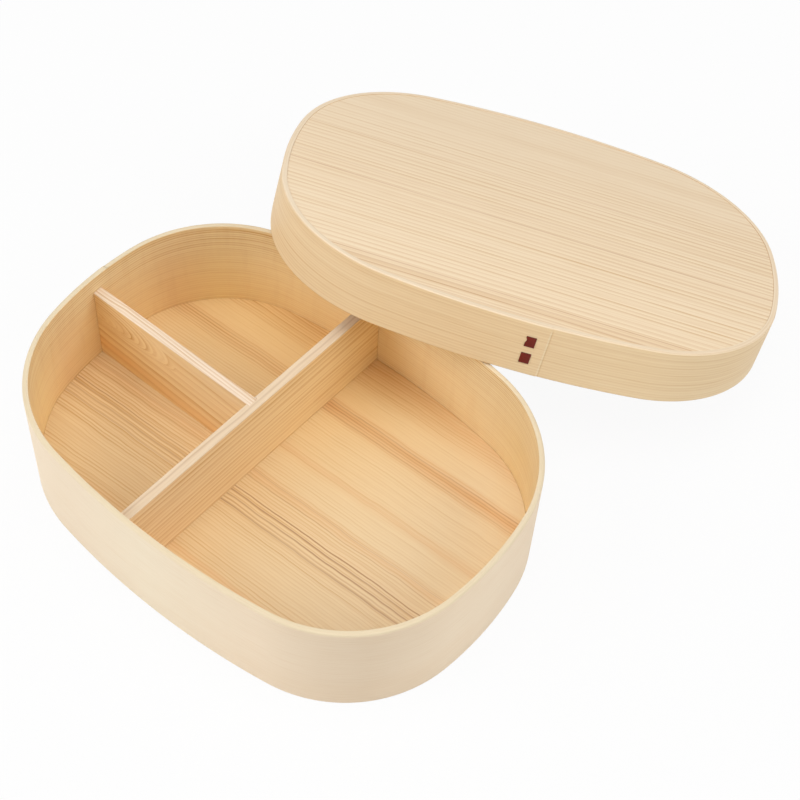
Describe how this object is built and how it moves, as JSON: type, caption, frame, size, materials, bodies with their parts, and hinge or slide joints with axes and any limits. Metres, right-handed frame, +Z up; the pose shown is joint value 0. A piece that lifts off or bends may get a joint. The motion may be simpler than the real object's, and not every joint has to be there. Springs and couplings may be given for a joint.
{
  "type": "bento box",
  "caption": "Oval bent-wood bento box with a flat base, two loose dividers making three compartments, and its cover lid leaning on the far rim.",
  "frame": {"origin": "middle of the box, on the underside of its base board, where it stands on the table", "axes": "+X along the box's long side, +Y across the box towards the side that the lid leans on, +Z up"},
  "size_m": [0.1963, 0.2712, 0.0729],
  "materials": {
    "pale_cedar": "bare planed cedar, satin",
    "lid_cedar": "bare planed cedar board, straight grain, satin",
    "warm_cedar": "bare planed cedar board with darker grain lines, satin",
    "divider_cedar": "bare planed cedar, satin",
    "cherry_bark": "cherry bark, smooth, dark red brown, low sheen"
  },
  "bodies": {
    "box": {"box_band": "pale_cedar", "box_base_board": "warm_cedar", "box_bark_lace": "cherry_bark"},
    "long_divider": {"long_divider": "divider_cedar"},
    "short_divider": {"short_divider": "divider_cedar"},
    "lid": {"lid_band": "pale_cedar", "lid_top_board": "lid_cedar", "lid_bark_lace": "cherry_bark"}
  },
  "joints": [
    {"name": "lid_lift", "type": "slide", "parent": "box", "child": "lid", "axis": [0, 0, 1], "range_m": [0, 0.06]},
    {"name": "short_divider_lift", "type": "slide", "parent": "box", "child": "short_divider", "axis": [0, 0, 1], "range_m": [0, 0.06]},
    {"name": "long_divider_lift", "type": "slide", "parent": "box", "child": "long_divider", "axis": [0, 0, 1], "range_m": [0, 0.012]}
  ]
}
